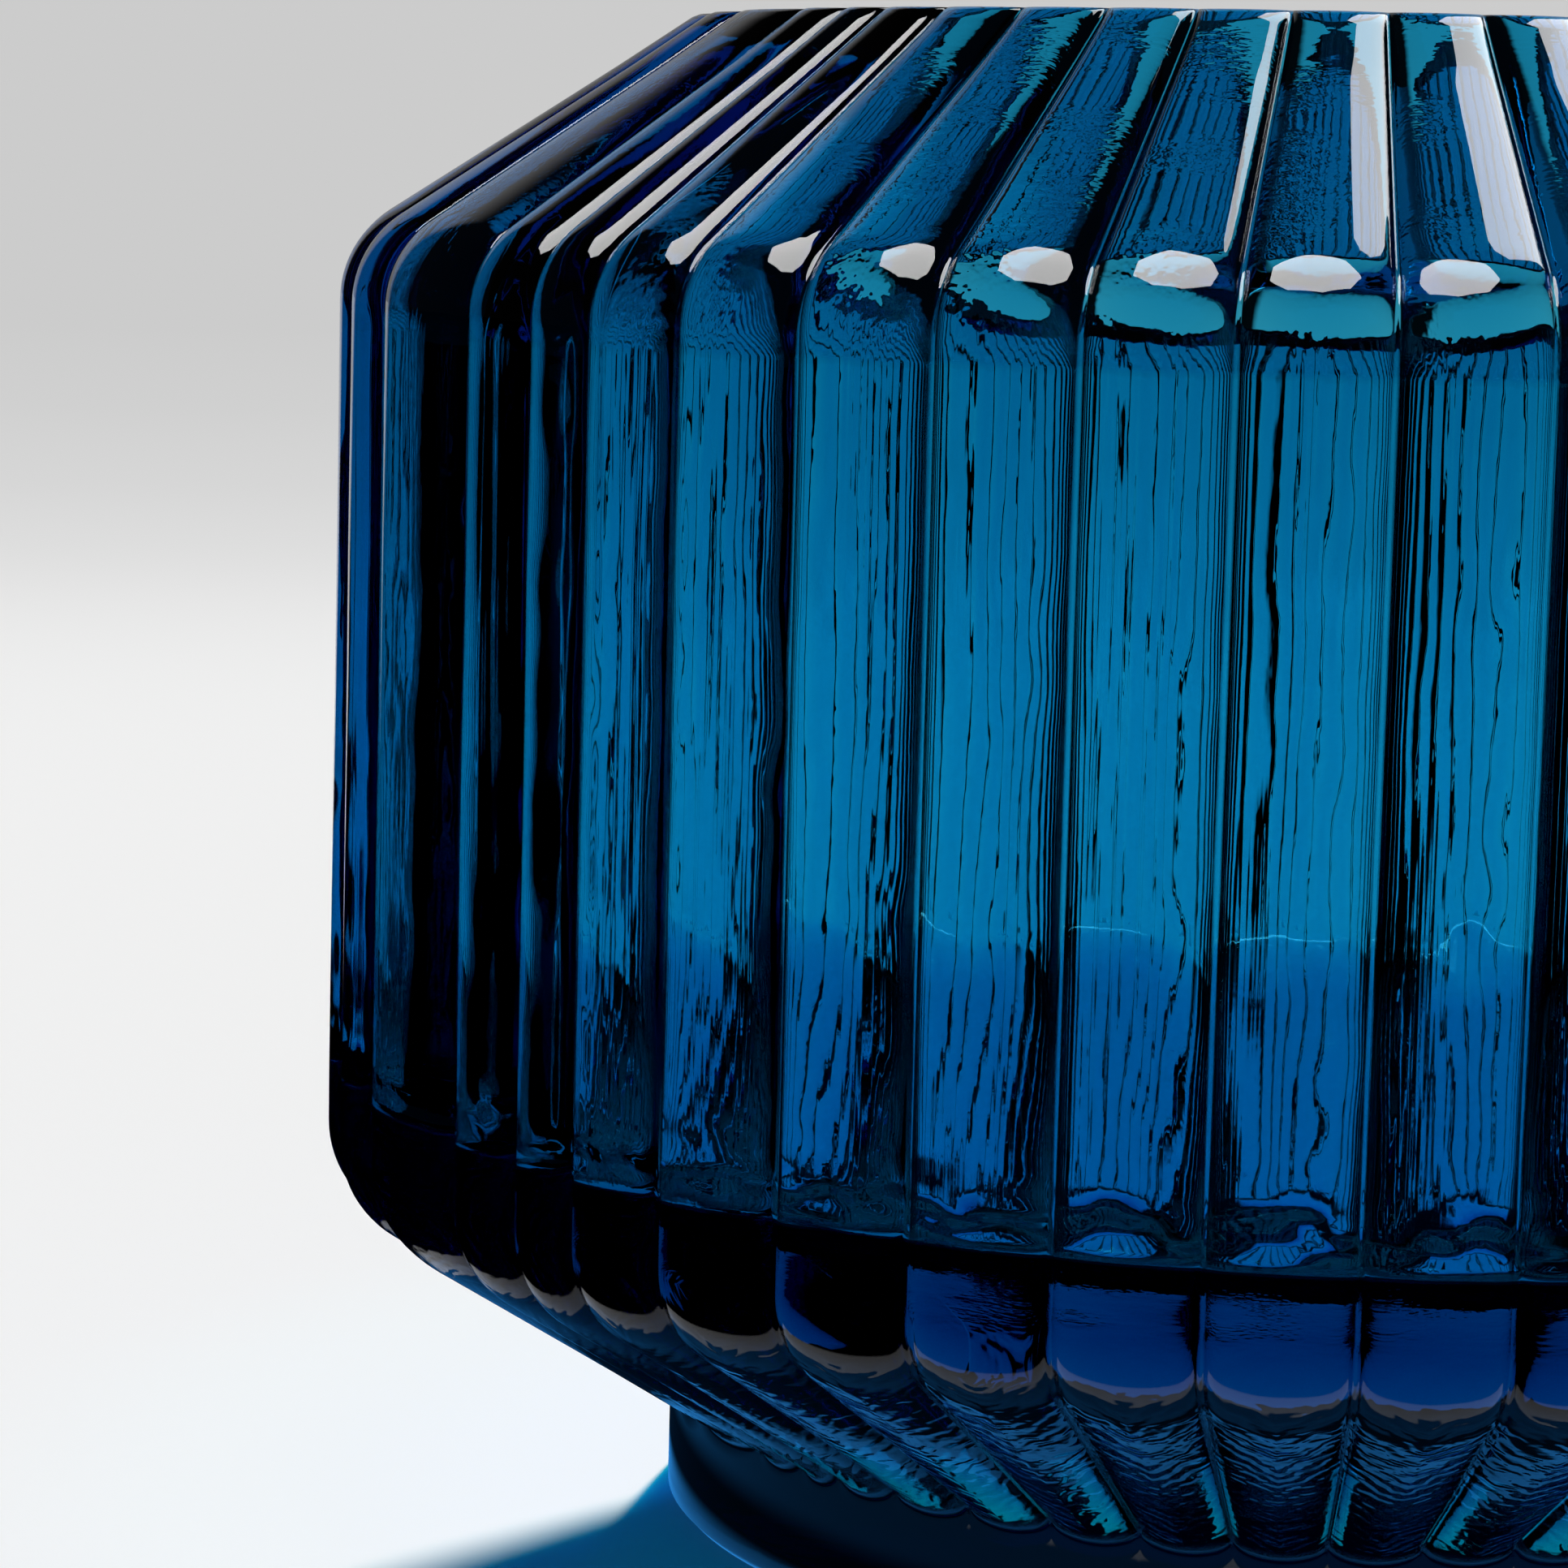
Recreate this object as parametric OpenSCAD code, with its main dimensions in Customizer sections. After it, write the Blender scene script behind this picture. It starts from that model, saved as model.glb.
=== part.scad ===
// Squat reeded glass vase: a thick ribbed body, blown in a ribbed mould and
// ground flat at the mouth, closed by a heavy floor and set on a smooth round foot.
// Millimetres, +Z up. The origin is the centre of the foot's flat underside.
// A crease between two ribs lies on the -Y side, which is the front.

/* [Body] */
// Diameter over the crests of the ribs
body_d = 80; // [72:1:110]
// Height of the upright band between the lower corner and the shoulder corner
wall_h = 37.1; // [18:0.1:60]
// Rise of the sloping shoulder, from its corner to the mouth
shoulder_h = 9.1; // [5:0.1:14]
// Rise of the slope under the body, from the foot to the lower corner
lower_h = 8.7; // [5:0.1:14]
// Radius that rounds both corners along the crest of a rib
corner_r = 4.2; // [1.6:0.1:5]
// Thickness of the glass between a crease and the inside
wall_t = 2.4; // [1.6:0.1:4]
// Radius that rounds the corners on the inside
inner_corner_r = 3; // [0.5:0.1:6]

/* [Ribs] */
// Number of convex ribs round the body
rib_count = 48; // [36:2:72]
// Depth of the sharp crease between two ribs
rib_depth = 0.8; // [0.3:0.05:1.2]
// How square a rib is across: 2 is a plain curve, more is flatter along its crest
rib_square = 2.8; // [2:0.1:4]
// Extra width of the rib on each seam of the two-part mould, in shares of a rib
seam_extra = 0.7; // [0:0.02:0.8]

/* [Mouth] */
// Diameter over the crests at the flat ground mouth
mouth_d = 52.4; // [44:0.4:64]

/* [Base] */
// Height above the lower corner at which the wall turns into the bowl of the bottom
bowl_rise = 4.3; // [3.2:0.1:7]
// Radius that rounds that turn
bowl_round = 1.5; // [1:0.1:6]
// Thickness of the glass between the foot and the inner floor
floor_t = 1.8; // [1:0.1:4]
// Radius that rounds the edge of the inner floor
floor_round = 8; // [2:0.5:16]

/* [Foot] */
// Diameter of the smooth foot, which is also where the ribs run out
foot_d = 51.8; // [46:0.2:62]
// Thickness of the foot disc
foot_h = 4.4; // [1.2:0.1:6]
// Smooth band between the foot disc and the lowest rib tips
collar_h = 0.3; // [0.1:0.05:1]
// Bevel that was ground round the underside of the foot
foot_bevel = 0.4; // [0.1:0.05:0.8]

/* [Hidden] */
$fn = 96;

// Share of the seam rib's extra width by which each crease after it is shifted
seam_shares = [0, 1, 0.75, 0.22];
// First rib of the seam, counted from the front crease against the azimuth
seam_rib = rib_count - 9;
// Columns of points on a rib: -1 is its first crease, 0 its crest, 1 the next crease
rib_places = [-1, -0.6, 0, 0.6];
// Straight steps round an outside corner and round an inside corner
corner_steps = 3;
inner_steps = 2;
// Steps round each curve of the bowl
bowl_steps = 5;
// Angle short of the wall at which the bowl's round stops, which leaves a narrow ledge
ledge_turn = 12;
glass_blue = [0.02, 0.38, 0.58, 0.8];

body_r = body_d / 2;
mouth_r = mouth_d / 2;
foot_r = foot_d / 2;
// Heights of the rib tips, the two corners and the mouth, along a crest
tip_z = foot_h + collar_h;
lower_z = tip_z + lower_h;
upper_z = lower_z + wall_h;
mouth_z = upper_z + shoulder_h;
bowl_z = lower_z + bowl_rise;
floor_z = foot_h + floor_t;
// Slopes of the two cones from the horizontal
lower_slope = atan2(lower_h, body_r - foot_r);
upper_slope = atan2(shoulder_h, body_r - mouth_r);
// Angles through which the profile turns at each corner
lower_turn = 90 - lower_slope;
upper_turn = 90 - upper_slope;
// Depth of the inner face under the crests
inner_depth = rib_depth + wall_t;
inner_r = body_r - inner_depth;

function reverse(list) = [for (i = [len(list) - 1 : -1 : 0]) list[i]];

// ---- Ribs round the axis -------------------------------------------------

half_turn_ribs = floor(rib_count / 2);

// Place of crease k after its seam rib, in rib widths past the even spacing
function seam_shift(k) =
    let (after = (k + rib_count - seam_rib) % half_turn_ribs)
    after < len(seam_shares) ? seam_extra * seam_shares[after] : 0;

function crease_turn(k) = (k + seam_shift(k)) * 360 / rib_count;

// Depth below the crest at place t across a rib
function rib_sink(t) = rib_depth * pow(abs(t), rib_square);

// Each column of points is [azimuth, sink]
columns = [
    for (k = [0 : rib_count - 1])
        for (t = rib_places)
            let (from = crease_turn(k), to = crease_turn(k + 1))
            [from + (to - from) * (t + 1) / 2, rib_sink(t)]
];

// ---- Profile from foot to mouth ------------------------------------------

// Point on an arc round the lower corner, at depth e under the crest line
function lower_arc(turn, e) = [
    body_r - corner_r + (corner_r - e) * cos(turn),
    lower_z + corner_r * tan(lower_turn / 2) + (corner_r - e) * sin(turn)
];

function upper_arc(turn, e) = [
    body_r - corner_r + (corner_r - e) * cos(turn),
    upper_z - corner_r * tan(upper_turn / 2) + (corner_r - e) * sin(turn)
];

// Where the lower slope, sunk by e, meets the foot's round side
function foot_meet(e) =
    let (start = lower_arc(-lower_turn, e))
    [foot_r, start[1] - (start[0] - foot_r) * tan(lower_slope)];

// Where the shoulder, sunk by e, meets the flat mouth
function mouth_meet(e) =
    let (start = upper_arc(upper_turn, e))
    [start[0] - (mouth_z - start[1]) / tan(upper_slope), mouth_z];

// The ribs get shallower as they get narrower towards the foot and the mouth
function outer_profile(e) = concat(
    [[foot_r, foot_h], foot_meet(e * foot_d / body_d)],
    [for (i = [0 : corner_steps]) lower_arc(-lower_turn * (1 - i / corner_steps), e)],
    [for (i = [0 : corner_steps]) upper_arc(upper_turn * i / corner_steps, e)],
    [mouth_meet(e * mouth_d / body_d)]
);

// Inner face, from the foot up to the mouth, with steps at each rounded corner
function inner_profile(steps) =
    let (
        low_corner = lower_z + inner_depth * tan(lower_turn / 2),
        high_corner = upper_z - inner_depth * tan(upper_turn / 2),
        low_mid = low_corner + inner_corner_r * tan(lower_turn / 2),
        high_mid = high_corner - inner_corner_r * tan(upper_turn / 2),
        mid_r = inner_r - inner_corner_r
    )
    concat(
        [[inner_r - (low_corner - foot_h) / tan(lower_slope), foot_h]],
        [
            for (i = [0 : steps])
                let (turn = -lower_turn * (1 - i / steps))
                [mid_r + inner_corner_r * cos(turn), low_mid + inner_corner_r * sin(turn)]
        ],
        [
            for (i = [0 : steps])
                let (turn = upper_turn * i / steps)
                [mid_r + inner_corner_r * cos(turn), high_mid + inner_corner_r * sin(turn)]
        ],
        [[inner_r - (mouth_z - high_corner) / tan(upper_slope), mouth_z]]
    );

// ---- The glass ------------------------------------------------------------

// Blown wall: shoulder, upright band and lower slope in one ribbed skin.
// Each column of points runs up the outside and down the inside.
module ribbed_body() {
    count = len(columns);
    // The inner face has flat sides too, and they clear the circle inside them
    flat_allow = 1 / cos(180 / count * (1 + seam_extra));
    inside = [for (p = inner_profile(inner_steps)) [p[0] * flat_allow, p[1]]];
    loop = len(outer_profile(0)) + len(inside);
    points = [
        for (c = columns)
            for (p = concat(outer_profile(c[1]), reverse(inside)))
                [p[0] * sin(c[0]), -p[0] * cos(c[0]), p[1]]
    ];
    faces = [
        for (c = [0 : count - 1])
            for (j = [0 : loop - 1])
                let (here = c * loop, next = ((c + 1) % count) * loop, up = (j + 1) % loop)
                each [
                    [here + j, here + up, next + up],
                    [here + j, next + up, next + j]
                ]
    ];
    color(glass_blue) polyhedron(points, faces, convexity = 6);
}

// Thick glass in the bottom of the body: a bowl that lines the lower slope, with a small floor
module heavy_floor() {
    inside = inner_profile(bowl_steps);
    // The bowl's slope runs beside the lower slope, from the wall down to the floor
    slope_end = inner_r - (bowl_z - floor_z) / tan(lower_slope);
    flat_r = slope_end - floor_round * tan(lower_slope / 2);
    floor_edge = [
        for (i = [0 : bowl_steps])
            let (turn = lower_slope * i / bowl_steps)
            [flat_r + floor_round * sin(turn), floor_z + floor_round * (1 - cos(turn))]
    ];
    round_r = inner_r - bowl_round;
    round_z = bowl_z + bowl_round * tan(lower_turn / 2);
    bowl_edge = [
        for (i = [0 : bowl_steps])
            let (turn = -lower_turn + (lower_turn - ledge_turn) * i / bowl_steps)
            [round_r + bowl_round * cos(turn), round_z + bowl_round * sin(turn)]
    ];
    ledge_z = bowl_edge[bowl_steps][1];
    color(glass_blue)
        intersection() {
            rotate_extrude()
                polygon(concat([[0, foot_h]], inside, [[0, mouth_z]]));
            rotate_extrude()
                polygon(concat(
                    [[body_r, ledge_z], [body_r, foot_h], [0, foot_h], [0, floor_z]],
                    floor_edge,
                    bowl_edge
                ));
        }
}

// Smooth round foot under the body, ground flat to stand on
module foot() {
    color(glass_blue)
        rotate_extrude()
            polygon([
                [0, 0],
                [foot_r - foot_bevel, 0],
                [foot_r, foot_bevel],
                [foot_r, foot_h],
                [0, foot_h]
            ]);
}

ribbed_body();
heavy_floor();
foot();
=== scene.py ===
"""Squat reeded vase of deep blue glass on a pale table, seen close up.

One continuous glass mesh stands for the three glass nodes of the frame, because they are fused.
Lengths of the glass are millimetres until they are written to its mesh, which is in metres.
Lengths of the table, the lights and the shader trees are metres. +Z is up.
"""
import math

import bpy
import numpy as np
from mathutils import Matrix, Vector


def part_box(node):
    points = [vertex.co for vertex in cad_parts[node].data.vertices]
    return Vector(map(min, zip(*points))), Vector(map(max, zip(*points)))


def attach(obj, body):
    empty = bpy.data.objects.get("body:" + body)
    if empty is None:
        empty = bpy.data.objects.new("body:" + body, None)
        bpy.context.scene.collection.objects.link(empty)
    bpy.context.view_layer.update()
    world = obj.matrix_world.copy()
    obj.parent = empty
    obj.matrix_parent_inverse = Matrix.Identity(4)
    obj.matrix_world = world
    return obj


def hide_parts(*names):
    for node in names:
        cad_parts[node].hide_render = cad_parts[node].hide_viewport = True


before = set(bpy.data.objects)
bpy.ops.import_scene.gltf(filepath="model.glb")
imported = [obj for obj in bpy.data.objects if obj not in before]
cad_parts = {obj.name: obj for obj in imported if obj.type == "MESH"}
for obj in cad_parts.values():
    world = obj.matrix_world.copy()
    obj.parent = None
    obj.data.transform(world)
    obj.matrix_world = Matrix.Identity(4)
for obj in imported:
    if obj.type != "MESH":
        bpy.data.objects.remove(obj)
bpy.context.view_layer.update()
MM = 0.001


def node_top(name):
    """Highest corner of a frame node's box, in millimetres."""
    _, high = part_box(name)
    return [v / MM for v in high]


# ---- Sizes of the vase, from the frame where it states them -------------------------------------

FOOT_R, _, FOOT_H = node_top("foot")
MOUTH_Z = node_top("ribbed_body")[2]
LEDGE_Z = node_top("heavy_floor")[2]

BODY_R = 40.0
MOUTH_R = 26.2
COLLAR_H = 0.3
LOWER_H = 8.7
SHOULDER_H = 9.1
CORNER_R = 4.2
INNER_CORNER_R = 3.0
WALL_T = 2.4
FOOT_BEVEL = 0.4
BOWL_RISE = 4.3
BOWL_ROUND = 0.8
FLOOR_T = 1.8
FLOOR_ROUND = 8.0

RIBS = 48
RIB_DEPTH = 0.8
# Share of the depth in the broad curve of a rib; the rest turns down close to the crease
RIB_CURVE, RIB_CURVE_POWER, RIB_EDGE_POWER = 0.65, 2, 10
# First rib of the mould seam, its extra width, and how much of that shifts each crease after it
SEAM_RIB = RIBS - 9
SEAM_EXTRA = 0.7
SEAM_SHARES = (0, 1, 0.75, 0.22)

TIP_Z = FOOT_H + COLLAR_H
LOWER_Z = TIP_Z + LOWER_H
UPPER_Z = MOUTH_Z - SHOULDER_H
BOWL_Z = LOWER_Z + BOWL_RISE
FLOOR_Z = FOOT_H + FLOOR_T
LOWER_SLOPE = math.atan2(LOWER_H, BODY_R - FOOT_R)
UPPER_SLOPE = math.atan2(SHOULDER_H, BODY_R - MOUTH_R)
# The bowl is a little flatter than the slope outside it
BOWL_SLOPE = LOWER_SLOPE - math.radians(1.4)
LOWER_TURN = math.pi / 2 - LOWER_SLOPE
UPPER_TURN = math.pi / 2 - UPPER_SLOPE
BOWL_TURN = math.pi / 2 - BOWL_SLOPE
INNER_DEPTH = RIB_DEPTH + WALL_T
INNER_R = BODY_R - INNER_DEPTH
# Corner between the inside of the wall and the inside of the shoulder, before it is rounded
HIGH_CORNER = UPPER_Z - INNER_DEPTH * math.tan(UPPER_TURN / 2)
INNER_MOUTH_R = INNER_R - (MOUTH_Z - HIGH_CORNER) / math.tan(UPPER_SLOPE)

# Details of the mesh: radius of the innermost ring under the foot, the soft joint between foot
# and slope, the narrow edges that keep the ground mouth sharp, and the columns of a rib
UNDERSIDE_HOLE = 0.5
FILLET, FILLET_OUT, FILLET_SHARE, SLOPE_LEAD = 0.25, 0.04, 0.3, 0.3
MOUTH_EDGE, INNER_MOUTH_EDGE = 0.12, 0.18
COLUMNS_PER_RIB, CROWDING = 20, 0.5
STEPS = {"underside": 12, "bevel": 2, "foot": 8, "lower_slope": 18, "corner": 12, "band": 48,
         "shoulder": 24, "mouth": 6, "inner_shoulder": 30, "inner_wall": 130, "bowl_turn": 24,
         "bowl_slope": 40, "floor_edge": 12, "floor": 16}
# Directions of a normal in the profile, as angles from the horizontal
DOWN, OUT, UP = -math.pi / 2, 0.0, math.pi / 2


# ---- Columns round the axis ---------------------------------------------------------------------

def crease_turn(k):
    """Azimuth of crease k in radians: the rib on each mould seam is wider, the next are narrower."""
    after = (k - SEAM_RIB) % (RIBS // 2)
    shift = SEAM_EXTRA * SEAM_SHARES[after] if after < len(SEAM_SHARES) else 0
    return (k + shift) * 2 * math.pi / RIBS


def make_columns():
    """Azimuth, place across the rib (-1 to 1) and sink below the crest of every column."""
    steps = np.arange(COLUMNS_PER_RIB) / COLUMNS_PER_RIB
    # Columns crowd towards the creases, where the surface turns fastest
    places = np.sin((steps - 0.5) * math.pi) * CROWDING + (2 * steps - 1) * (1 - CROWDING)
    turns = []
    for k in range(RIBS):
        start, end = crease_turn(k), crease_turn(k + 1)
        turns.append(start + (end - start) * (places + 1) / 2)
    turns, across = np.concatenate(turns), np.tile(places, RIBS)
    sink = RIB_DEPTH * (RIB_CURVE * np.abs(across) ** RIB_CURVE_POWER
                        + (1 - RIB_CURVE) * np.abs(across) ** RIB_EDGE_POWER)
    return turns, across, sink


TURNS, ACROSS, SINK = make_columns()
COLUMNS = len(TURNS)
TURN_SHARE = TURNS / (2 * math.pi)


# ---- Rings from the middle of the underside, up the outside and down the inside -----------------

class Rings:
    """Collects rings of points as radius, height and outward normal for every column."""

    def __init__(self):
        self.r, self.z, self.nr, self.nz, self.inside = [], [], [], [], []

    def add(self, r, z, normal, inside=0.0):
        full = np.ones(COLUMNS)
        self.r.append(r * full)
        self.z.append(z * full)
        self.nr.append(math.cos(normal) * full)
        self.nz.append(math.sin(normal) * full)
        self.inside.append(inside)

    def line(self, start, end, steps, normal, inside=0.0):
        """Rings along a straight line from start towards end, which the next stretch adds."""
        for i in range(steps):
            share = i / steps
            self.add(start[0] + (end[0] - start[0]) * share,
                     start[1] + (end[1] - start[1]) * share, normal, inside)

    def arc(self, middle, radius, turn_from, turn_to, steps, inside=0.0):
        """Rings round an arc towards its end; on the inner face the normal points to its middle."""
        for i in range(steps):
            turn = turn_from + (turn_to - turn_from) * i / steps
            self.add(middle[0] + radius * math.cos(turn), middle[1] + radius * math.sin(turn),
                     turn + math.pi * inside, inside)


def outer_corner(sink, z, turn, up):
    """Middle of a corner's arc, and the arc's end on the slope, below the crests by sink."""
    middle = (BODY_R - CORNER_R, z - up * CORNER_R * math.tan(abs(turn) / 2))
    radius = CORNER_R - sink
    return middle, (middle[0] + radius * math.cos(turn), middle[1] + radius * math.sin(turn))


def add_foot(rings, foot_z):
    """Underside, bevel and side of the foot, up to the slope at height foot_z."""
    rings.line((UNDERSIDE_HOLE, 0), (FOOT_R - FOOT_BEVEL, 0), STEPS["underside"], DOWN)
    rings.line((FOOT_R - FOOT_BEVEL, 0), (FOOT_R, FOOT_BEVEL), STEPS["bevel"], DOWN / 2)
    rings.line((FOOT_R, FOOT_BEVEL), (FOOT_R, foot_z - FILLET), STEPS["foot"], OUT)
    rings.add(FOOT_R, foot_z - FILLET, OUT)
    rings.add(FOOT_R + FILLET_OUT, foot_z - FILLET * FILLET_SHARE, -LOWER_TURN / 2)


def add_outside(rings):
    """Foot, lower slope, lower corner, band, shoulder corner, shoulder and the flat mouth."""
    low_middle, low_end = outer_corner(SINK, LOWER_Z, -LOWER_TURN, -1)
    high_middle, high_end = outer_corner(SINK, UPPER_Z, UPPER_TURN, 1)
    # The ribs get shallower as they get narrower towards the foot and the mouth
    _, foot_start = outer_corner(SINK * FOOT_R / BODY_R, LOWER_Z, -LOWER_TURN, -1)
    foot_z = foot_start[1] - (foot_start[0] - FOOT_R) * math.tan(LOWER_SLOPE)
    _, mouth_start = outer_corner(SINK * MOUTH_R / BODY_R, UPPER_Z, UPPER_TURN, 1)
    mouth_r = mouth_start[0] - (MOUTH_Z - mouth_start[1]) / math.tan(UPPER_SLOPE)
    mouth_edge = (mouth_r + MOUTH_EDGE / math.tan(UPPER_SLOPE), MOUTH_Z - MOUTH_EDGE)

    add_foot(rings, foot_z)
    slope_start = (FOOT_R + SLOPE_LEAD, foot_z + SLOPE_LEAD * math.tan(LOWER_SLOPE))
    rings.line(slope_start, low_end, STEPS["lower_slope"], -LOWER_TURN)
    rings.arc(low_middle, CORNER_R - SINK, -LOWER_TURN, 0, STEPS["corner"])
    rings.line((BODY_R - SINK, low_middle[1]), (BODY_R - SINK, high_middle[1]), STEPS["band"], OUT)
    rings.arc(high_middle, CORNER_R - SINK, 0, UPPER_TURN, STEPS["corner"])
    rings.line(high_end, mouth_edge, STEPS["shoulder"], UPPER_TURN)
    rings.add(*mouth_edge, UPPER_TURN)
    rings.line((mouth_r - MOUTH_EDGE, MOUTH_Z), (INNER_MOUTH_R + MOUTH_EDGE, MOUTH_Z),
               STEPS["mouth"], UP)
    rings.add(INNER_MOUTH_R + MOUTH_EDGE, MOUTH_Z, UP)


def add_inside(rings):
    """Inner shoulder, its corner, wall, turn into the bowl, bowl slope and small floor."""
    high_mid = (INNER_R - INNER_CORNER_R, HIGH_CORNER - INNER_CORNER_R * math.tan(UPPER_TURN / 2))
    inner_end = (high_mid[0] + INNER_CORNER_R * math.cos(UPPER_TURN),
                 high_mid[1] + INNER_CORNER_R * math.sin(UPPER_TURN))
    inner_edge = (INNER_MOUTH_R + MOUTH_EDGE / math.tan(UPPER_SLOPE), MOUTH_Z - INNER_MOUTH_EDGE)
    bowl_mid = (INNER_R - BOWL_ROUND, BOWL_Z + BOWL_ROUND * math.tan(BOWL_TURN / 2))
    bowl_end = (bowl_mid[0] + BOWL_ROUND * math.cos(BOWL_TURN),
                bowl_mid[1] - BOWL_ROUND * math.sin(BOWL_TURN))
    slope_end = INNER_R - (BOWL_Z - FLOOR_Z) / math.tan(BOWL_SLOPE)
    flat_r = slope_end - FLOOR_ROUND * math.tan(BOWL_SLOPE / 2)
    floor_mid = (flat_r, FLOOR_Z + FLOOR_ROUND)
    floor_start = (flat_r + FLOOR_ROUND * math.cos(BOWL_TURN),
                   floor_mid[1] - FLOOR_ROUND * math.sin(BOWL_TURN))

    rings.line(inner_edge, inner_end, STEPS["inner_shoulder"], UPPER_TURN + math.pi, 1)
    rings.arc(high_mid, INNER_CORNER_R, UPPER_TURN, 0, STEPS["corner"], 1)
    rings.line((INNER_R, high_mid[1]), (INNER_R, bowl_mid[1]), STEPS["inner_wall"], math.pi, 1)
    rings.arc(bowl_mid, BOWL_ROUND, 0, -BOWL_TURN, STEPS["bowl_turn"], 1)
    rings.line(bowl_end, floor_start, STEPS["bowl_slope"], math.pi - BOWL_TURN, 1)
    rings.arc(floor_mid, FLOOR_ROUND, -BOWL_TURN, DOWN, STEPS["floor_edge"], 1)
    for i in range(STEPS["floor"]):
        rings.add(flat_r * (1 - i / STEPS["floor"]), FLOOR_Z, UP, 1)


# ---- Ripples of blown glass ---------------------------------------------------------------------

# Layers of waves: how many go round the axis, how many up the wall, and height in millimetres
STREAKS = ((150, 2, 0.045), (330, 3, 0.020))
BLOBS = ((112, 9, 0.07), (230, 26, 0.04))
ROUGH = ((180, 30, 0.20), (400, 80, 0.09))
EDGE_WAVES = ((120, 3, 0.7), (400, 3, 0.5))
OUTER_WAVES = ((90, 6, 0.03), (224, 9, 0.012))
INNER_SEED, OUTER_SEED = 11, 5
# How far the inner face follows the ribs outside it
FOLLOW = 0.10
# Share of the ripples that the bowl keeps
BOWL_CALM = 0.15
# Blobs: share on a rib's left side, place across it from which they grow to the right, share at
# the floor, and what is lost of it up to the mouth
LEFT_SHARE, GROWS_FROM, LOW_SHARE, UP_LOSS = 0.35, -0.4, 1.2, 0.8
# Reach of the roughest glass above and below the ledge
ROUGH_REACH = 1.2
# Ragged edge: rise above the bowl, softness, thickness of the skin, and how it thins out below
EDGE_RISE, EDGE_SOFT, SKIN_T, SKIN_BELOW, SKIN_FADE = 1.3, 0.25, 0.14, 1.0, 1.5
# Outside: over what heights the waves grow from the foot and from the mouth, and the drop that
# keeps them inside the solid
GROW_LOW, GROW_HIGH, OUTER_DROP = 3.0, 2.0, 0.05


def lattice(rng, round_waves, up_waves, up_share):
    """Smooth noise from -1 to 1 on rings by columns, closed round the axis."""
    grid = rng.uniform(-1, 1, (up_waves + 2, round_waves))
    u = (TURN_SHARE % 1.0) * round_waves
    v = np.clip(up_share, 0, 1) * up_waves
    iu, iv = np.floor(u).astype(int), np.floor(v).astype(int)
    fu, fv = u - iu, v - iv
    fu, fv = fu * fu * (3 - 2 * fu), (fv * fv * (3 - 2 * fv))[:, None]
    left, right = iu % round_waves, (iu + 1) % round_waves
    low = grid[iv][:, left] * (1 - fu) + grid[iv][:, right] * fu
    high = grid[iv + 1][:, left] * (1 - fu) + grid[iv + 1][:, right] * fu
    return low * (1 - fv) + high * fv


def waves(rng, layers, height):
    """Sum of layers of smooth noise, by their heights."""
    return sum(size * lattice(rng, around, up, height) for around, up, size in layers)


def inner_ripples(rings):
    """How far each inner point is pushed out of the glass, in millimetres."""
    rng = np.random.default_rng(INNER_SEED)
    inside = np.array(rings.inside)[:, None]
    r, z = np.array(rings.r), np.array(rings.z)
    height = np.clip((z[:, 0] - FLOOR_Z) / (MOUTH_Z - FLOOR_Z), 0, 1)
    # The middle of the floor has no room for waves counted round the axis
    calm = np.clip(r / INNER_R, 0, 1) ** 2
    # The bowl is smoother than the wall above it
    wall = np.clip(z - BOWL_Z, BOWL_CALM, 1)
    follow = FOLLOW * np.cos(math.pi * ACROSS)[None, :] * np.ones_like(z)
    streaks = waves(rng, STREAKS, height)
    # The right side of each rib and the lower part of the wall are less even
    to_right = LEFT_SHARE + (1 - LEFT_SHARE) * np.clip(ACROSS - GROWS_FROM, 0, 1)
    uneven = to_right[None, :] * (LOW_SHARE - UP_LOSS * height[:, None])
    blobs = uneven * waves(rng, BLOBS, height)
    near_ledge = np.exp(-np.abs(z - LEDGE_Z) / ROUGH_REACH)
    rough = near_ledge * waves(rng, ROUGH, height)
    # The wall's skin ends in a ragged edge above the bowl
    edge = BOWL_Z + EDGE_RISE + waves(rng, EDGE_WAVES, height)
    below = np.clip((edge - z) / EDGE_SOFT + 0.5, 0, 1)
    ledge = SKIN_T * below * np.clip((z - BOWL_Z + SKIN_BELOW) / SKIN_FADE, 0, 1)
    return inside * (calm * wall * (follow + streaks + blobs + rough) + ledge)


def outer_ripples(rings):
    """Slight unevenness of the moulded outside, kept off the flat foot and mouth."""
    rng = np.random.default_rng(OUTER_SEED)
    z = np.array(rings.z)
    outside = 1 - np.array(rings.inside)[:, None]
    grown = np.clip((z - TIP_Z) / GROW_LOW, 0, 1) * np.clip((MOUTH_Z - z) / GROW_HIGH, 0, 1)
    return outside * grown * (waves(rng, OUTER_WAVES, z[:, 0] / MOUTH_Z) - OUTER_DROP)


# ---- Mesh of the glass --------------------------------------------------------------------------

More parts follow.
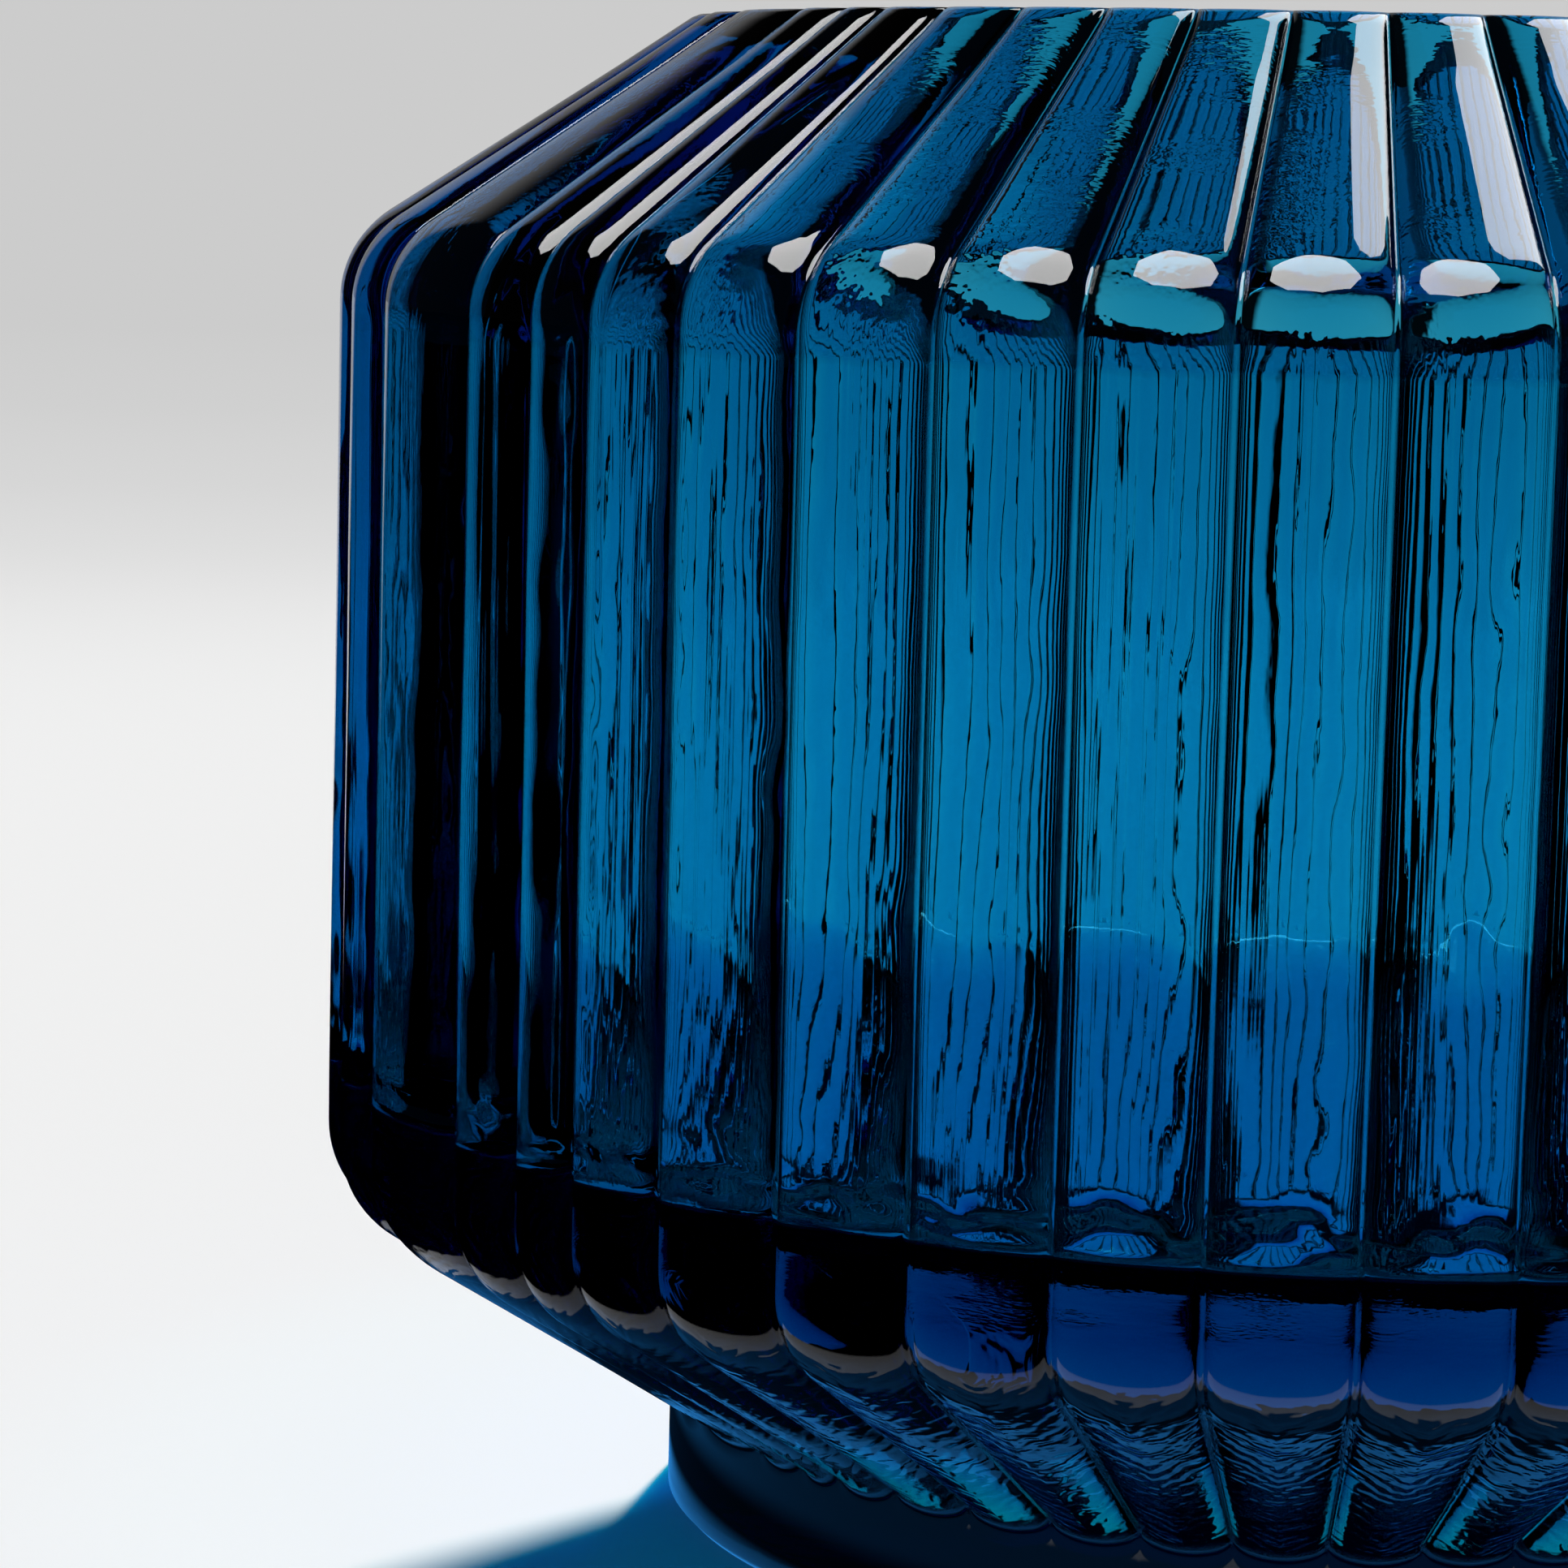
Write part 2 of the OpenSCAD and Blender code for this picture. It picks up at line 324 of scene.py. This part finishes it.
def glass_mesh():
    """The whole vase as one closed skin of rings, with a fan of faces at each end."""
    rings = Rings()
    add_outside(rings)
    add_inside(rings)
    push = inner_ripples(rings) + outer_ripples(rings)
    r = np.array(rings.r) + np.array(rings.nr) * push
    z = np.array(rings.z) + np.array(rings.nz) * push
    points = np.stack([r * np.sin(TURNS), -r * np.cos(TURNS), z], axis=2).reshape(-1, 3)
    bottom, top = len(points), len(points) + 1
    points = np.concatenate([points, [[0, 0, 0], [0, 0, FLOOR_Z]]]) * MM
    column = np.arange(COLUMNS)
    beside = (column + 1) % COLUMNS
    ring = np.arange(len(r) - 1)[:, None] * COLUMNS
    quads = np.stack([ring + column, ring + beside, ring + COLUMNS + beside,
                      ring + COLUMNS + column], axis=2).reshape(-1, 4)
    last = (len(r) - 1) * COLUMNS
    fans = [(bottom, beside[c], column[c]) for c in range(COLUMNS)]
    fans += [(top, last + column[c], last + beside[c]) for c in range(COLUMNS)]
    mesh = smooth_mesh("vase_glass", points, quads, fans)
    point_values(mesh, "inner_face", np.append(np.repeat(rings.inside, COLUMNS), [0, 1]))
    point_values(mesh, "rib_across", np.append(np.tile(ACROSS, len(r)), [0, 0]))
    mesh.update(calc_edges=True)
    mesh.validate()
    return link_object("vase_glass", mesh)


def point_values(mesh, name, values):
    """One number at every point, which the shader reads by this name."""
    attribute = mesh.attributes.new(name, "FLOAT", "POINT")
    attribute.data.foreach_set("value", values.astype(np.float32))


def smooth_mesh(name, points, quads, triangles):
    """A smooth-shaded mesh from arrays of points and faces."""
    mesh = bpy.data.meshes.new(name)
    loops = np.concatenate([quads.ravel(), np.array(triangles).ravel()]).astype(np.int32)
    totals = np.repeat([4, 3], [len(quads), len(triangles)]).astype(np.int32)
    starts = np.concatenate([[0], np.cumsum(totals)[:-1]]).astype(np.int32)
    mesh.vertices.add(len(points))
    mesh.vertices.foreach_set("co", points.astype(np.float32).ravel())
    mesh.loops.add(len(loops))
    mesh.loops.foreach_set("vertex_index", loops)
    mesh.polygons.add(len(totals))
    mesh.polygons.foreach_set("loop_start", starts)
    mesh.polygons.foreach_set("loop_total", totals)
    mesh.polygons.foreach_set("use_smooth", np.ones(len(totals), bool))
    return mesh


def link_object(name, data):
    thing = bpy.data.objects.new(name, data)
    bpy.context.scene.collection.objects.link(thing)
    return thing


# ---- Shader trees -------------------------------------------------------------------------------

class Graph:
    """Short way to write a shader tree: add() makes a node, sets it up and wires its inputs."""

    def __init__(self, tree):
        self.tree = tree
        tree.nodes.clear()

    def add(self, kind, inputs=None, **settings):
        node = self.tree.nodes.new("ShaderNode" + kind)
        for name, value in settings.items():
            setattr(node, name, value)
        for name, value in (inputs or {}).items():
            socket = node.inputs[name]
            if isinstance(value, bpy.types.NodeSocket):
                self.tree.links.new(value, socket)
            else:
                socket.default_value = value
        return node

    def math(self, operation, *values):
        node = self.add("Math", dict(enumerate(values)), operation=operation)
        return node.outputs["Value"]

    def product(self, result, *factors):
        for factor in factors:
            result = self.math("MULTIPLY", result, factor)
        return result

    def ramp(self, value, low, high, start=0.0, end=1.0):
        """Smooth step from start at low to end at high."""
        node = self.add("MapRange", {"Value": value, "From Min": low, "From Max": high,
                                     "To Min": start, "To Max": end},
                        interpolation_type="SMOOTHSTEP")
        return node.outputs["Result"]

    def band(self, value, low, high, soft):
        """1 between low and high, with both edges softened inwards."""
        return self.product(self.ramp(value, low, low + soft), self.ramp(value, high, high - soft))

    def path(self, name):
        """A property of the ray that meets the surface."""
        return self.add("LightPath").outputs[name]

    def glow(self, color, strength):
        node = self.add("Emission", {"Color": (*color, 1), "Strength": strength})
        return node.outputs["Emission"]

    def mix(self, share, first, second):
        return self.add("MixShader", {"Fac": share, 1: first, 2: second}).outputs["Shader"]

    def both(self, first, second):
        return self.add("AddShader", {0: first, 1: second}).outputs["Shader"]


def grey(level):
    return (level, level, level, 1)


def new_material(name):
    material = bpy.data.materials.new(name)
    material.use_nodes = True
    return material, Graph(material.node_tree)


# ---- Glass --------------------------------------------------------------------------------------

GLASS_IOR = 1.52
# Absorption of the blue glass: colour that passes, and density per metre
ABSORB_COLOR = (0.0, 0.79, 0.917)
ABSORB_DENSITY = 1060.0
# Share of light that a shadow keeps at each face of the glass, where the rest is bent away
SHADOW_KEEPS = (0.70, 0.97, 0.88)
BUMP_STRENGTH, BUMP_HEIGHT = 0.5, 0.00003
# Noise in the surface: features per metre, their scale along the height, and detail
FINE_LINES, LINE_GROUPS, SPECKS, FEATHER_NOISE = (
    (5200, 0.003, 1), (420, 0.10, 1), (1100, 0.25, 3), (700, 1.0, 2))
# Noise levels between which a group of fine lines fades in
GROUP_FROM, GROUP_TO = 0.40, 0.62
# Places across a rib between which the fine lines fade out, and what is left of them there
LINES_TO, LINES_FROM, LINES_LEAST = 0.35, -0.25, 0.15
# Height of the small unevenness against that of the fine lines
SPECK_SHARE = 0.5
# Strokes on the slope under the body: height, rise of one stroke in metres, strokes that the
# two arms climb from a crest to its creases, and how far noise bends them
FEATHER_SHARE, FEATHER_PITCH, FEATHER_ARMS, FEATHER_BEND = 0.45, 0.0005, 3.0, 2.5
# Heights between which the strokes fade out at the top and at the bottom of the slope
FEATHER_TOP = ((LOWER_Z + 0.5) * MM, (LOWER_Z - 0.5) * MM)
FEATHER_FOOT = (TIP_Z * MM, (TIP_Z + 0.5) * MM)


def stretched_noise(graph, place, scale, upright, detail):
    """Noise with so many features per metre, drawn out along the height."""
    stretch = graph.add("Mapping", {"Vector": place, "Scale": (1, 1, upright)}).outputs["Vector"]
    noise = graph.add("TexNoise", {"Vector": stretch, "Scale": scale, "Detail": detail})
    return noise.outputs["Fac"]


def feathers(graph, place, across, inner):
    """Fine strokes like a feather's on each rib of the slope under the body."""
    up = graph.add("SeparateXYZ", {"Vector": place}).outputs["Z"]
    bent = graph.product(stretched_noise(graph, place, *FEATHER_NOISE), FEATHER_BEND)
    arms = graph.product(graph.math("ABSOLUTE", across), -FEATHER_ARMS)
    strokes = graph.math("DIVIDE", up, FEATHER_PITCH)
    cycles = graph.math("ADD", strokes, graph.math("ADD", arms, bent))
    wave = graph.math("SINE", graph.product(cycles, 2 * math.pi))
    on_slope = graph.product(graph.ramp(up, *FEATHER_TOP), graph.ramp(up, *FEATHER_FOOT))
    return graph.product(wave, on_slope, graph.math("SUBTRACT", 1.0, inner), FEATHER_SHARE)


def blue_glass():
    """Clear glass, coloured in its mass, with fine ripples on its inner face."""
    material, graph = new_material("blue_glass")
    place = graph.add("TexCoord").outputs["Object"]
    inner = graph.add("Attribute", attribute_name="inner_face").outputs["Fac"]
    across = graph.add("Attribute", attribute_name="rib_across").outputs["Fac"]
    # Fine upright lines, in groups, mostly on the left half of each rib
    groups = graph.ramp(stretched_noise(graph, place, *LINE_GROUPS), GROUP_FROM, GROUP_TO)
    left_half = graph.ramp(across, LINES_TO, LINES_FROM, LINES_LEAST, 1.0)
    lines = graph.product(groups, left_half, stretched_noise(graph, place, *FINE_LINES))
    # Small unevenness elsewhere
    specks = graph.product(stretched_noise(graph, place, *SPECKS), SPECK_SHARE)
    height = graph.product(graph.math("ADD", lines, specks), inner)
    height = graph.math("ADD", height, feathers(graph, place, across, inner))
    bump = graph.add("Bump", {"Strength": BUMP_STRENGTH, "Distance": BUMP_HEIGHT,
                              "Height": height}).outputs["Normal"]
    glass = graph.add("BsdfPrincipled", {"Base Color": (1, 1, 1, 1), "Roughness": 0.0,
                                         "IOR": GLASS_IOR, "Transmission Weight": 1.0,
                                         "Normal": bump}).outputs["BSDF"]
    clear = graph.add("BsdfTransparent", {"Color": (*SHADOW_KEEPS, 1)}).outputs["BSDF"]
    surface = graph.mix(graph.path("Is Shadow Ray"), glass, clear)
    volume = graph.add("VolumeAbsorption", {"Color": (*ABSORB_COLOR, 1),
                                            "Density": ABSORB_DENSITY}).outputs["Volume"]
    graph.add("OutputMaterial", {"Surface": surface, "Volume": volume})
    return material


# ---- Table --------------------------------------------------------------------------------------

TABLE_REACH, TABLE_SIDES = 6.0, 96
TABLE_WHITE = 0.86
# Brightness of the far table, by distance from the vase in metres, and a share for all of it
TABLE_LEVELS = ((0.0, 1.0), (0.17, 0.98), (0.30, 0.93), (0.44, 0.84), (0.60, 0.76),
                (0.84, 0.71), (1.30, 0.68))
TABLE_SHARE = 0.888
# Between these distances the lit white of the near table runs into the far table
FAR_FROM, FAR_TO = 0.20, 0.50
# Painted glow on the table over the glass's own shadow, standing in for light that the glass spreads
# there, by distance from the axis
PAINTED_SPREAD_GLOW, SPREAD_NEAR, SPREAD_FAR = (0.0, 0.025, 0.030), 0.045, 0.060
# Thin film of air between the ground foot and the table
TABLE_GAP = 0.00003
# Seen through or in the glass, the room is pale only behind the vase, between two azimuths
PALE_LEFT, PALE_RIGHT, PALE_SOFT = math.radians(-29), math.radians(17), math.radians(5)
# Share of the pale room's light that the glass shows
THROUGH_SHARE = 0.95
# The front of the table runs into its back over this distance behind the axis
FRONT_EDGE = 0.01
# In the glass the table is in shade close to the vase, with a painted glowing strip along the
# shade's edge
STRIP_IN, STRIP_OUT, STRIP_GLOW, EDGE_SOFTNESS = 0.040, 0.047, 0.5, 0.001
# Light that leaves by the side of the foot meets the bare table right behind it: distances from
# the axis over which the table turns bare, and lengths of a last leg that is long and short
BARE_FROM, BARE_TO, LEG_LONG, LEG_SHORT = 0.0255, 0.0265, 0.010, 0.006
# Painted ring of glow on the table under the front of the foot, standing in for light that the bowl
# gathers
PAINTED_RING_GLOW, PAINTED_RING_IN, PAINTED_RING_OUT = (0.1, 9.0, 1.5), 0.0180, 0.0255
# It shows where a ray comes in, turns once in the bowl and goes out, which makes three bounces
# before the table, and crosses the film of air at a slant
TURNED_DEPTH, SLANT_FROM, SLANT_TO = 3.0, 1.28 * TABLE_GAP, 1.34 * TABLE_GAP
# Shade on the table close round the foot, as the glass mirrors it and as it shows through
SHADE_MIRRORED, SHADE_THROUGH = (0.03, 0.30, 0.85), (0.0, 0.005, 0.01)
# Strength of the mirrored shade by distance: most in a rim at the foot, least outside the rim,
# and more again further out
RIM_OUT, RIM_IN, RIM_LEAST, RIM_MOST = 0.0285, 0.0268, 0.03, 0.9
OUTER_FROM, OUTER_TO, OUTER_MOST = 0.031, 0.035, 0.35


def pale_azimuth(graph, x, y):
    """1 for directions in the pale part of the room behind the vase, 0 outside it."""
    azimuth = graph.math("ARCTAN2", x, y)
    return graph.product(graph.ramp(azimuth, PALE_LEFT - PALE_SOFT, PALE_LEFT),
                         graph.ramp(azimuth, PALE_RIGHT + PALE_SOFT, PALE_RIGHT))


def plain_table(graph, length):
    """White near the vase, with a faint painted glow over its shadow, running into the grey of the
    background further off.
    """
    levels = graph.add("ValToRGB", {"Fac": graph.math("DIVIDE", length, TABLE_REACH)})
    curve = levels.color_ramp
    curve.elements.remove(curve.elements[-1])
    for i, (reach, level) in enumerate(TABLE_LEVELS):
        element = curve.elements[0] if i == 0 else curve.elements.new(reach / TABLE_REACH)
        element.position, element.color = reach / TABLE_REACH, grey(level)
    white = graph.add("BsdfDiffuse", {"Color": grey(TABLE_WHITE)}).outputs["BSDF"]
    # Painted glow over the vase's shadow, in place of light that the glass spreads there
    painted_spread = graph.glow(PAINTED_SPREAD_GLOW, graph.ramp(length, SPREAD_FAR, SPREAD_NEAR))
    level = graph.product(levels.outputs["Color"], TABLE_SHARE)
    far_grey = graph.add("Emission", {"Color": level}).outputs["Emission"]
    return graph.mix(graph.ramp(length, FAR_FROM, FAR_TO), graph.both(white, painted_spread), far_grey)


def painted_ring_glow(graph, length, front, leg):
    """Painted ring of glow on the table, which the bowl's slope shows in place of the light it
    gathers.
    """
    ring = graph.band(length, PAINTED_RING_IN, PAINTED_RING_OUT, EDGE_SOFTNESS)
    turned = graph.math("COMPARE", graph.path("Ray Depth"), TURNED_DEPTH, 0.5)
    slanting = graph.ramp(leg, SLANT_FROM, SLANT_TO)
    return graph.glow(PAINTED_RING_GLOW, graph.product(ring, front, turned, slanting))


def shade_in_glass(graph, length, front, leg):
    """Shade close round the foot: one colour in mirrors, another with the ring seen through."""
    near = graph.ramp(length, STRIP_OUT, STRIP_IN)
    rim = graph.math("ADD", graph.ramp(length, RIM_OUT, RIM_IN, RIM_LEAST, RIM_MOST),
                     graph.ramp(length, OUTER_FROM, OUTER_TO, 0.0, OUTER_MOST))
    mirrored = graph.glow(SHADE_MIRRORED, graph.product(near, rim))
    behind = graph.both(graph.glow(SHADE_THROUGH, near),
                        painted_ring_glow(graph, length, front, leg))
    return graph.mix(graph.path("Is Transmission Ray"), mirrored, behind)


def table_in_glass(graph, length, x, y, plain):
    """What the glass shows of the table: pale behind the vase, in shade elsewhere."""
    leg = graph.path("Ray Length")
    bare = graph.product(graph.ramp(y, 0.0, FRONT_EDGE), graph.ramp(length, BARE_FROM, BARE_TO),
                         graph.ramp(leg, LEG_LONG, LEG_SHORT))
    clear = graph.math("MAXIMUM", graph.ramp(length, STRIP_IN, STRIP_OUT), bare)
    kept = graph.product(pale_azimuth(graph, x, y), clear, THROUGH_SHARE)
    front = graph.ramp(y, FRONT_EDGE, 0.0)
    # Painted glowing strip along the shade's edge, for the glass to mirror
    strip = graph.band(length, STRIP_IN, STRIP_OUT, EDGE_SOFTNESS)
    strip = graph.glow((1, 1, 1), graph.product(strip, front, STRIP_GLOW))
    return graph.mix(kept, graph.both(strip, shade_in_glass(graph, length, front, leg)), plain)


def table_material():
    """Plain pale table, with painted shade and painted glows for rays that left the glass."""
    material, graph = new_material("pale_table")
    place = graph.add("TexCoord").outputs["Object"]
    length = graph.add("VectorMath", {0: place}, operation="LENGTH").outputs["Value"]
    parts = graph.add("SeparateXYZ", {"Vector": place})
    plain = plain_table(graph, length)
    seen = table_in_glass(graph, length, parts.outputs["X"], parts.outputs["Y"], plain)
    in_glass = graph.math("MAXIMUM", graph.path("Is Glossy Ray"), graph.path("Is Transmission Ray"))
    graph.add("OutputMaterial", {"Surface": graph.mix(in_glass, plain, seen)})
    return material


def disc(name, radius, sides):
    """A flat many-sided disc of the stage, built from points."""
    mesh = bpy.data.meshes.new(name)
    turn = 2 * math.pi / sides
    points = [(radius * math.cos(turn * (i + 0.5)), radius * math.sin(turn * (i + 0.5)), 0)
              for i in range(sides)]
    mesh.from_pydata(points, [], [list(range(sides))])
    thing = link_object(name, mesh)
    return thing


def make_table():
    table = disc("table", TABLE_REACH, TABLE_SIDES)
    table.data.materials.append(table_material())
    table.location.z = -TABLE_GAP


# ---- Background and light -----------------------------------------------------------------------

BACKGROUND_GREY = 0.604
WORLD_DIM = 0.004
# The pale part of the room, as the outside of the glass mirrors it and as it shows through
MIRRORED_GREY, THROUGH_GREY = 0.3, 0.52
PALE_TOP, PALE_FADE = math.sin(math.radians(26)), math.sin(math.radians(40))
# Height of the point that the lights face
LIGHT_HEIGHT = 0.045
# Azimuths run from +Y towards +X; they and the elevations are degrees
SUN_AZIMUTH, SUN_RISE, SUN_REACH, SUN_STRENGTH, SUN_SPREAD = 9.0, 16.0, 1.0, 11.5, 3.5
OCTAGON = {"azimuth": 200, "rise": 74, "reach": 0.515, "sides": 8, "radius": 0.20,
           "strength": 9.5, "scale": (1.2, 1, 1)}
RIGHT_PANEL = {"azimuth": 33, "rise": 47, "reach": 0.6, "sides": 4, "radius": 0.15,
               "strength": 5.0, "scale": (1, 2, 1)}
# Brightness of the panels seen through the glass, where the photograph is not burnt out
PANEL_THROUGH = 0.3


def make_world():
    """Pale behind the vase up to half height, dark overhead and on the camera's side."""
    world = bpy.data.worlds.new("studio")
    bpy.context.scene.world = world
    world.use_nodes = True
    graph = Graph(world.node_tree)
    way = graph.add("TexCoord").outputs["Generated"]
    parts = graph.add("SeparateXYZ", {"Vector": way})
    bright = graph.ramp(graph.path("Is Transmission Ray"), 0, 1, MIRRORED_GREY, THROUGH_GREY)
    pale = pale_azimuth(graph, parts.outputs["X"], parts.outputs["Y"])
    low = graph.ramp(parts.outputs["Z"], PALE_FADE, PALE_TOP)
    not_diffuse = graph.ramp(graph.path("Is Diffuse Ray"), 1, 0)
    level = graph.math("ADD", graph.product(bright, pale, low, not_diffuse), WORLD_DIM)
    room = graph.add("Background", {"Color": level}).outputs["Background"]
    plain = graph.add("Background", {"Color": grey(BACKGROUND_GREY)}).outputs["Background"]
    graph.add("OutputWorld", {"Surface": graph.mix(graph.path("Is Camera Ray"), room, plain)})


def face_vase(thing, azimuth, rise, reach):
    """Put a light at an azimuth, an elevation and a reach in metres, turned to the vase."""
    azimuth, rise = math.radians(azimuth), math.radians(rise)
    away = Vector((reach * math.cos(rise) * math.sin(azimuth),
                   reach * math.cos(rise) * math.cos(azimuth), reach * math.sin(rise)))
    thing.location = away + Vector((0, 0, LIGHT_HEIGHT))
    thing.rotation_euler = (-away).to_track_quat("-Z", "Y").to_euler()


def back_sun():
    """Low light from behind, which throws the vase's shadow forwards along the table."""
    data = bpy.data.lights.new("back_light", "SUN")
    data.energy = SUN_STRENGTH
    data.angle = math.radians(SUN_SPREAD)
    lamp = link_object("back_light", data)
    face_vase(lamp, SUN_AZIMUTH, SUN_RISE, SUN_REACH)
    lamp.visible_glossy = False
    lamp.visible_transmission = False


def soft_panel(name, azimuth, rise, reach, sides, radius, strength, scale):
    """A glowing panel that shows only in the glass."""
    panel = disc(name, radius, sides)
    material, graph = new_material(name)
    level = graph.ramp(graph.path("Is Transmission Ray"), 0, 1, strength, PANEL_THROUGH)
    graph.add("OutputMaterial", {"Surface": graph.glow((1, 1, 1), level)})
    panel.data.materials.append(material)
    panel.scale = scale
    face_vase(panel, azimuth, rise, reach)
    panel.visible_diffuse = False
    panel.visible_camera = False


# ---- Camera -------------------------------------------------------------------------------------

# Focal length in pixels of the picture, and the picture's width in pixels
LENS_PX, FRAME_PX = 6036.5, 1932.0
SENSOR_MM = 36.0
CLIP_START = 0.01
# Distance from the axis and height above the shoulder corner in millimetres, and angles in radians
CAMERA_REACH, CAMERA_RISE, CAMERA_AZIMUTH = 197.9, 3.45, -0.0461
CAMERA_YAW, CAMERA_PITCH, CAMERA_ROLL = -0.0645, 0.1262, 0.0250


def make_camera():
    """Level with the shoulder, close to the front, turned left so that the right half is cut off."""
    data = bpy.data.cameras.new("camera")
    data.sensor_width = SENSOR_MM
    data.lens = LENS_PX / FRAME_PX * SENSOR_MM
    data.clip_start = CLIP_START
    camera = link_object("camera", data)
    place = Matrix.Translation((CAMERA_REACH * math.sin(CAMERA_AZIMUTH) * MM,
                                -CAMERA_REACH * math.cos(CAMERA_AZIMUTH) * MM,
                                (UPPER_Z + CAMERA_RISE) * MM))
    turn = Matrix.Rotation(-CAMERA_YAW, 4, "Z") @ Matrix.Rotation(math.pi / 2 - CAMERA_PITCH, 4, "X")
    camera.matrix_world = place @ turn @ Matrix.Rotation(CAMERA_ROLL, 4, "Z")
    bpy.context.scene.camera = camera


# ---- Scene --------------------------------------------------------------------------------------

make_camera()
vase = glass_mesh()
vase.data.materials.append(blue_glass())
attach(vase, "root")
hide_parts("ribbed_body", "heavy_floor", "foot")

make_table()
make_world()
back_sun()
soft_panel("octagon_softbox", **OCTAGON)
soft_panel("right_panel", **RIGHT_PANEL)
bpy.context.scene.view_settings.view_transform = "Standard"
